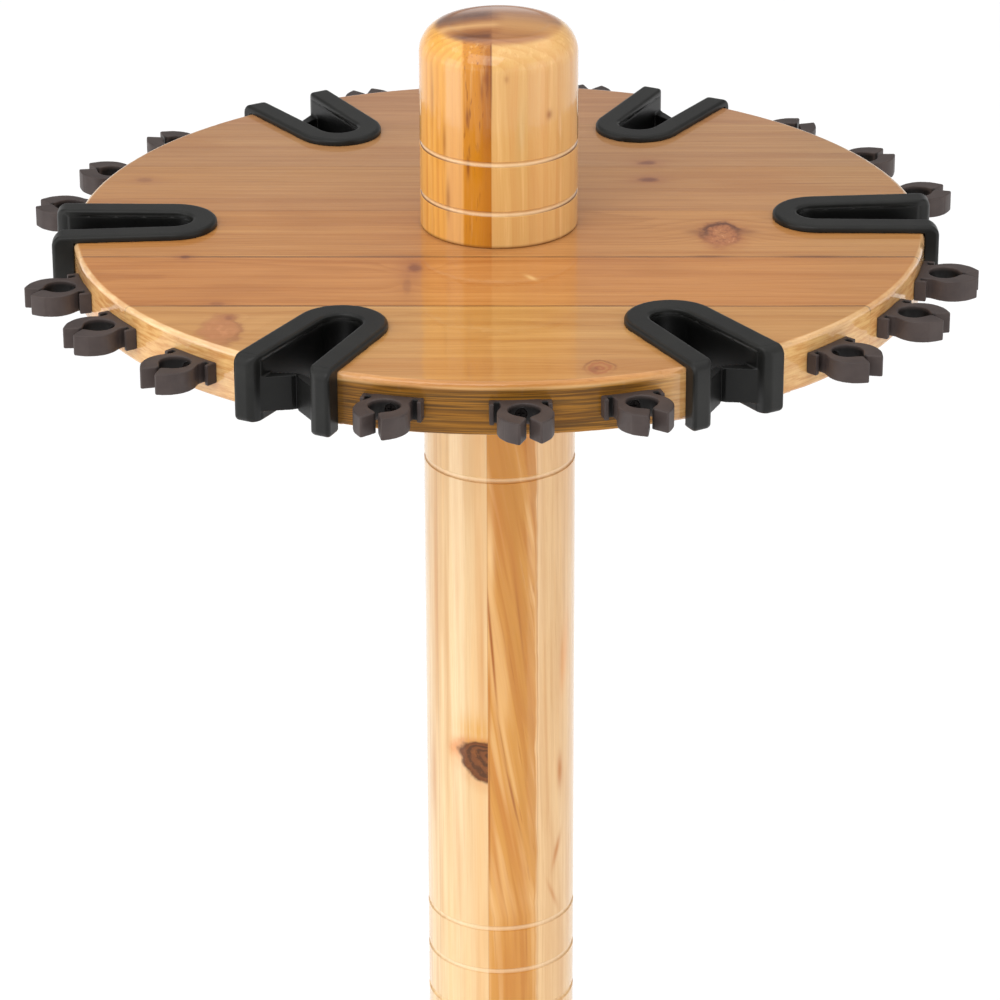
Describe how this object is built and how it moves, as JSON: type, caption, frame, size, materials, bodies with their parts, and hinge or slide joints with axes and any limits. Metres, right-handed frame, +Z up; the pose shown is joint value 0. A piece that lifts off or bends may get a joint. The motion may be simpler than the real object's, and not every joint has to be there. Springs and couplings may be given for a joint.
{
  "type": "fishing rod rack",
  "caption": "Free-standing round wooden rack: a turned post carries a disc with soft edge clips and lined slots for rods, above a turning base with butt recesses.",
  "frame": {"origin": "middle of the footprint on the floor", "axes": "+Z up along the post, -Y towards the front, +X to the right"},
  "size_m": [0.508, 0.508, 0.9188],
  "materials": {
    "varnished_knob": "clear gloss varnish over turned pine",
    "varnished_boards": "clear gloss varnish over edge-glued pine boards",
    "varnished_post": "clear gloss varnish over glued-up pine staves",
    "dowel_beech": "bare",
    "black_insert": "satin moulded elastomer",
    "clip_rubber": "matt moulded elastomer",
    "pad_foam": "matt closed-cell foam",
    "foot_rubber": "matt",
    "zinc_steel": "zinc plated",
    "bearing_steel": "polished",
    "dark_screw": "black oxide",
    "brass": "machined",
    "cage_nylon": "natural nylon"
  },
  "bodies": {
    "foot": {"foot_disc": "varnished_boards", "rubber_feet": "foot_rubber", "foot_screws": "dark_screw", "bearing_lower_plate": "zinc_steel", "bearing_lower_screws": "dark_screw"},
    "ball_ring": {"ball_cage": "cage_nylon", "bearing_balls": "bearing_steel"},
    "turning_rack": {"finial": "varnished_knob", "finial_insert_nut": "brass", "top_stud": "zinc_steel", "top_disc": "varnished_boards", "top_dowels": "dowel_beech", "post": "varnished_post", "post_top_insert_nut": "brass", "post_bottom_insert_nut": "brass", "base_dowels": "dowel_beech", "base_bolt": "zinc_steel", "base_washer": "zinc_steel", "base_disc": "varnished_boards", "butt_pads_outer": "pad_foam", "butt_pads_inner": "pad_foam", "slot_insert_1": "black_insert", "slot_insert_2": "black_insert", "slot_insert_3": "black_insert", "slot_insert_4": "black_insert", "slot_insert_5": "black_insert", "slot_insert_6": "black_insert", "rod_clip_01": "clip_rubber", "rod_clip_02": "clip_rubber", "rod_clip_03": "clip_rubber", "rod_clip_04": "clip_rubber", "rod_clip_05": "clip_rubber", "rod_clip_06": "clip_rubber", "rod_clip_07": "clip_rubber", "rod_clip_08": "clip_rubber", "rod_clip_09": "clip_rubber", "rod_clip_10": "clip_rubber", "rod_clip_11": "clip_rubber", "rod_clip_12": "clip_rubber", "rod_clip_13": "clip_rubber", "rod_clip_14": "clip_rubber", "rod_clip_15": "clip_rubber", "rod_clip_16": "clip_rubber", "rod_clip_17": "clip_rubber", "rod_clip_18": "clip_rubber", "clip_screws": "dark_screw", "bearing_upper_plate": "zinc_steel", "bearing_upper_screws": "dark_screw"}
  },
  "joints": [
    {"name": "rack_spin", "type": "hinge", "parent": "foot", "child": "turning_rack", "pos_m": [0, 0, 0.0305], "axis": [0, 0, 1], "continuous": true},
    {"name": "ball_ring_spin", "type": "hinge", "parent": "foot", "child": "ball_ring", "pos_m": [0, 0, 0.0305], "axis": [0, 0, 1], "continuous": true}
  ],
  "couplings": [
    {"joint": "ball_ring_spin", "follows": "rack_spin", "ratio": 0.5}
  ]
}
